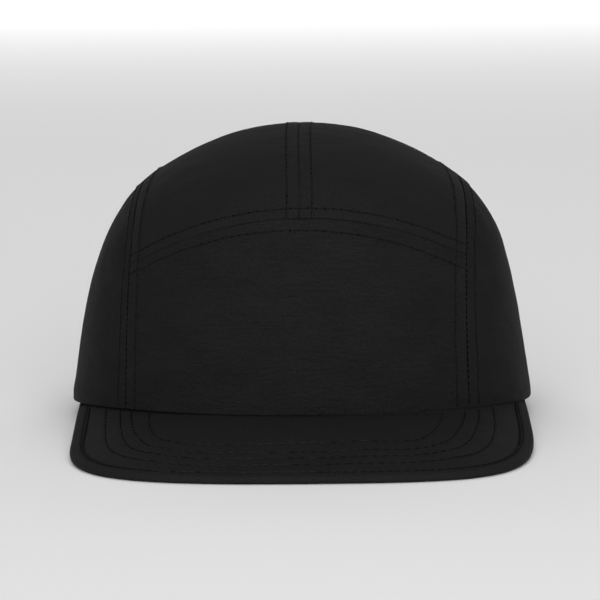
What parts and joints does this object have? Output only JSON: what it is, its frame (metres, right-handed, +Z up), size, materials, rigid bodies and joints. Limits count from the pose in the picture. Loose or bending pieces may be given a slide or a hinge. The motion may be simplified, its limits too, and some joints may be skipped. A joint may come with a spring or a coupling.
{
  "type": "five panel cap",
  "caption": "Black soft cloth cap with an arched front panel, a short flat stitched peak with a bound edge, and a webbing strap across an open back.",
  "frame": {"origin": "on the table, under the middle of the whole cap", "axes": "+Z up, the peak points to -Y, +X is the side of the wearer's left hand"},
  "size_m": [0.186, 0.247, 0.1175],
  "materials": {
    "shell_cloth": "crinkled nylon with a faint sheen",
    "peak_cloth": "the same nylon stretched over a board",
    "binding_cloth": "folded nylon tape",
    "band_cloth": "matt cotton twill",
    "webbing": "woven nylon webbing",
    "slider_plastic": "fine matt moulded"
  },
  "bodies": {
    "root": {"front_panel": "shell_cloth", "top_panel_left": "shell_cloth", "top_panel_right": "shell_cloth", "side_panel_left": "shell_cloth", "side_panel_right": "shell_cloth", "peak": "peak_cloth", "peak_binding": "binding_cloth", "sweatband": "band_cloth", "back_strap": "webbing", "strap_slider": "slider_plastic"}
  },
  "joints": []
}
